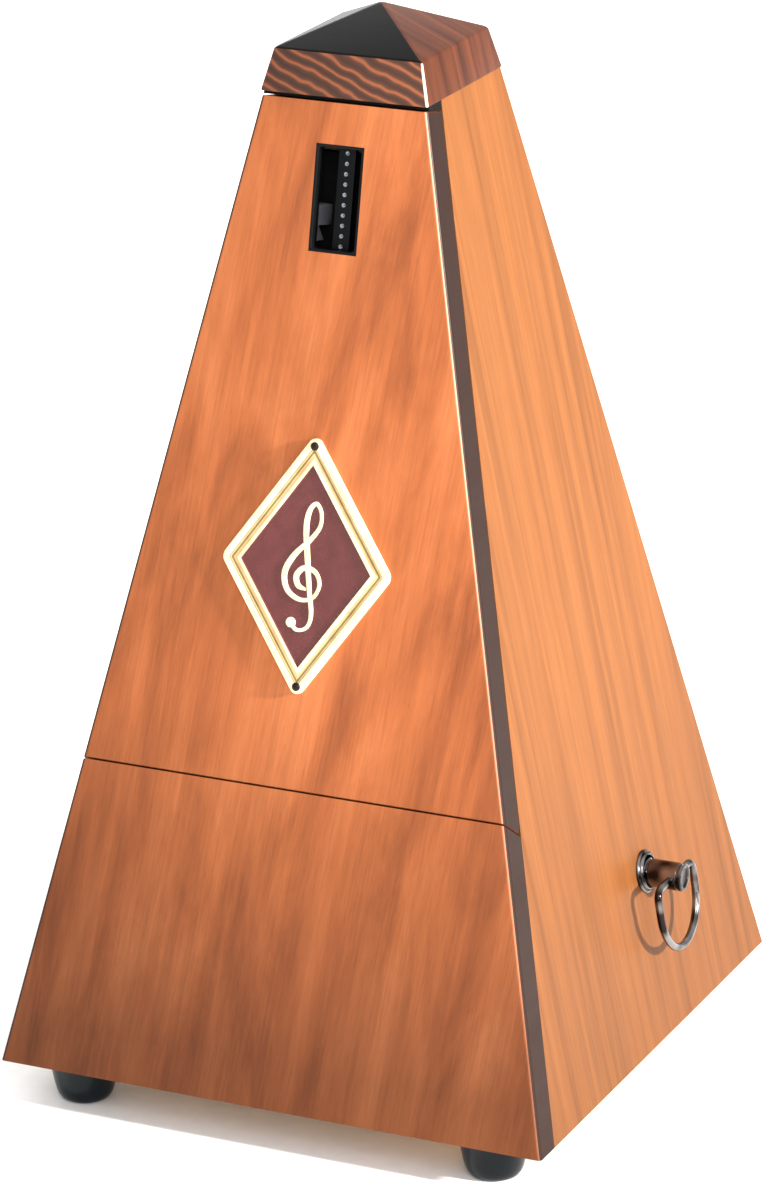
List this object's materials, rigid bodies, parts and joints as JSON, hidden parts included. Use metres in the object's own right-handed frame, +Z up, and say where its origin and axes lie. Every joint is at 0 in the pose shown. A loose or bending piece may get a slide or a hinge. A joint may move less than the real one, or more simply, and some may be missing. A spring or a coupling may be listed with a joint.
{
  "type": "metronome",
  "caption": "Clockwork pyramid metronome: wooden case on rubber feet, tip-off front cover, side winding key, and a weighted pendulum with a sliding weight inside.",
  "frame": {"origin": "on the table, under the middle of the square case", "axes": "+Z up, the front cover faces -Y, the winding key is on the +X side"},
  "size_m": [0.1204, 0.118, 0.219],
  "materials": {
    "front_wood": "stained and satin lacquered",
    "side_wood": "stained and satin lacquered",
    "cap_wood": "dark stained and lacquered",
    "plain_wood": "sawn and sanded, unfinished",
    "black_board": "matt black paint",
    "scale_face": "printed plate",
    "emblem": "enamelled plate with a gilt rim",
    "black_plastic": "moulded",
    "chrome": "polished plating",
    "bob_metal": "cast",
    "rubber": "moulded, slightly glossy",
    "brass": "brushed",
    "steel": "bright drawn"
  },
  "bodies": {
    "case": {"side_panel_left": "side_wood", "side_panel_right": "side_wood", "back_panel": "side_wood", "base_board": "plain_wood", "top_block": "plain_wood", "glue_blocks": "plain_wood", "lower_front_panel": "front_wood", "cap": "cap_wood", "cap_rail": "black_board", "foot_front_left": "rubber", "foot_front_right": "rubber", "foot_rear_left": "rubber", "foot_rear_right": "rubber", "foot_screws": "steel", "movement_screws": "steel", "pillar_screws": "steel", "scale_board": "black_board", "scale_plate": "scale_face", "scale_plate_nails": "steel", "catch_screws": "steel", "pendulum_catch": "steel", "cover_spring": "steel", "movement_plate_left": "brass", "movement_plate_right": "brass", "plate_pillars": "brass", "front_cock": "brass", "rear_cock": "brass", "click_screw": "steel", "click_spring": "steel", "key_rosette": "chrome"},
    "cover": {"front_cover": "front_wood", "cover_strike": "steel", "window_lining": "black_plastic", "emblem_plate": "emblem", "emblem_nails": "steel"},
    "pendulum": {"pendulum_arbor": "steel", "pendulum_rod": "steel", "pendulum_hub": "brass", "bob_arm": "steel", "bob_screw": "steel", "pendulum_bob": "bob_metal", "pallets": "steel"},
    "sliding_weight": {"tempo_weight": "brass", "weight_spring": "steel"},
    "winding_work": {"winding_arbor": "steel", "ratchet_wheel": "steel", "key_barrel": "chrome"},
    "bail": {"key_bail": "chrome"},
    "click": {"click": "steel"},
    "barrel": {"great_wheel": "brass", "spring_barrel": "brass", "barrel_lid": "brass", "mainspring": "steel"},
    "second_arbor": {"intermediate_pinion": "steel", "intermediate_wheel": "brass", "intermediate_arbor": "steel"},
    "escape_arbor": {"escape_arbor": "steel", "escape_pinion": "steel", "escape_wheel": "brass"}
  },
  "joints": [
    {"name": "cover_tilt", "type": "hinge", "parent": "case", "child": "cover", "pos_m": [0, -0.04558, 0.07178], "axis": [1, 0, 0], "range_deg": [0, 35]},
    {"name": "pendulum_swing", "type": "hinge", "parent": "case", "child": "pendulum", "pos_m": [0, -0.04335, 0.06497], "axis": [0, 0.9779, -0.209], "range_deg": [-22, 22]},
    {"name": "weight_slide", "type": "slide", "parent": "pendulum", "child": "sliding_weight", "axis": [0, 0.209, 0.9779], "range_m": [-0.017, 0.062]},
    {"name": "key_turn", "type": "hinge", "parent": "case", "child": "winding_work", "pos_m": [0.0257, 0.0105, 0.042], "axis": [1, 0, 0], "continuous": true},
    {"name": "bail_swing", "type": "hinge", "parent": "winding_work", "child": "bail", "pos_m": [0.05835, 0.0105, 0.042], "axis": [0, -1, 0], "range_deg": [-14.75, 177.25]},
    {"name": "click_lift", "type": "hinge", "parent": "case", "child": "click", "pos_m": [0.0265, 0.0005, 0.05], "axis": [1, 0, 0], "range_deg": [0, 12], "stiffness_Nm_per_rad": 0.002, "springref_deg": -20.05},
    {"name": "barrel_turn", "type": "hinge", "parent": "case", "child": "barrel", "pos_m": [0.01, 0.0105, 0.042], "axis": [1, 0, 0], "continuous": true},
    {"name": "second_turn", "type": "hinge", "parent": "case", "child": "second_arbor", "pos_m": [0, -0.0117, 0.03831], "axis": [1, 0, 0], "continuous": true},
    {"name": "escape_turn", "type": "hinge", "parent": "case", "child": "escape_arbor", "pos_m": [0, -0.01838, 0.05503], "axis": [1, 0, 0], "continuous": true}
  ],
  "couplings": [
    {"joint": "pendulum_swing", "follows": "cover_tilt", "ratio": 0.628},
    {"joint": "second_turn", "follows": "barrel_turn", "ratio": -4},
    {"joint": "escape_turn", "follows": "barrel_turn", "ratio": 16}
  ]
}
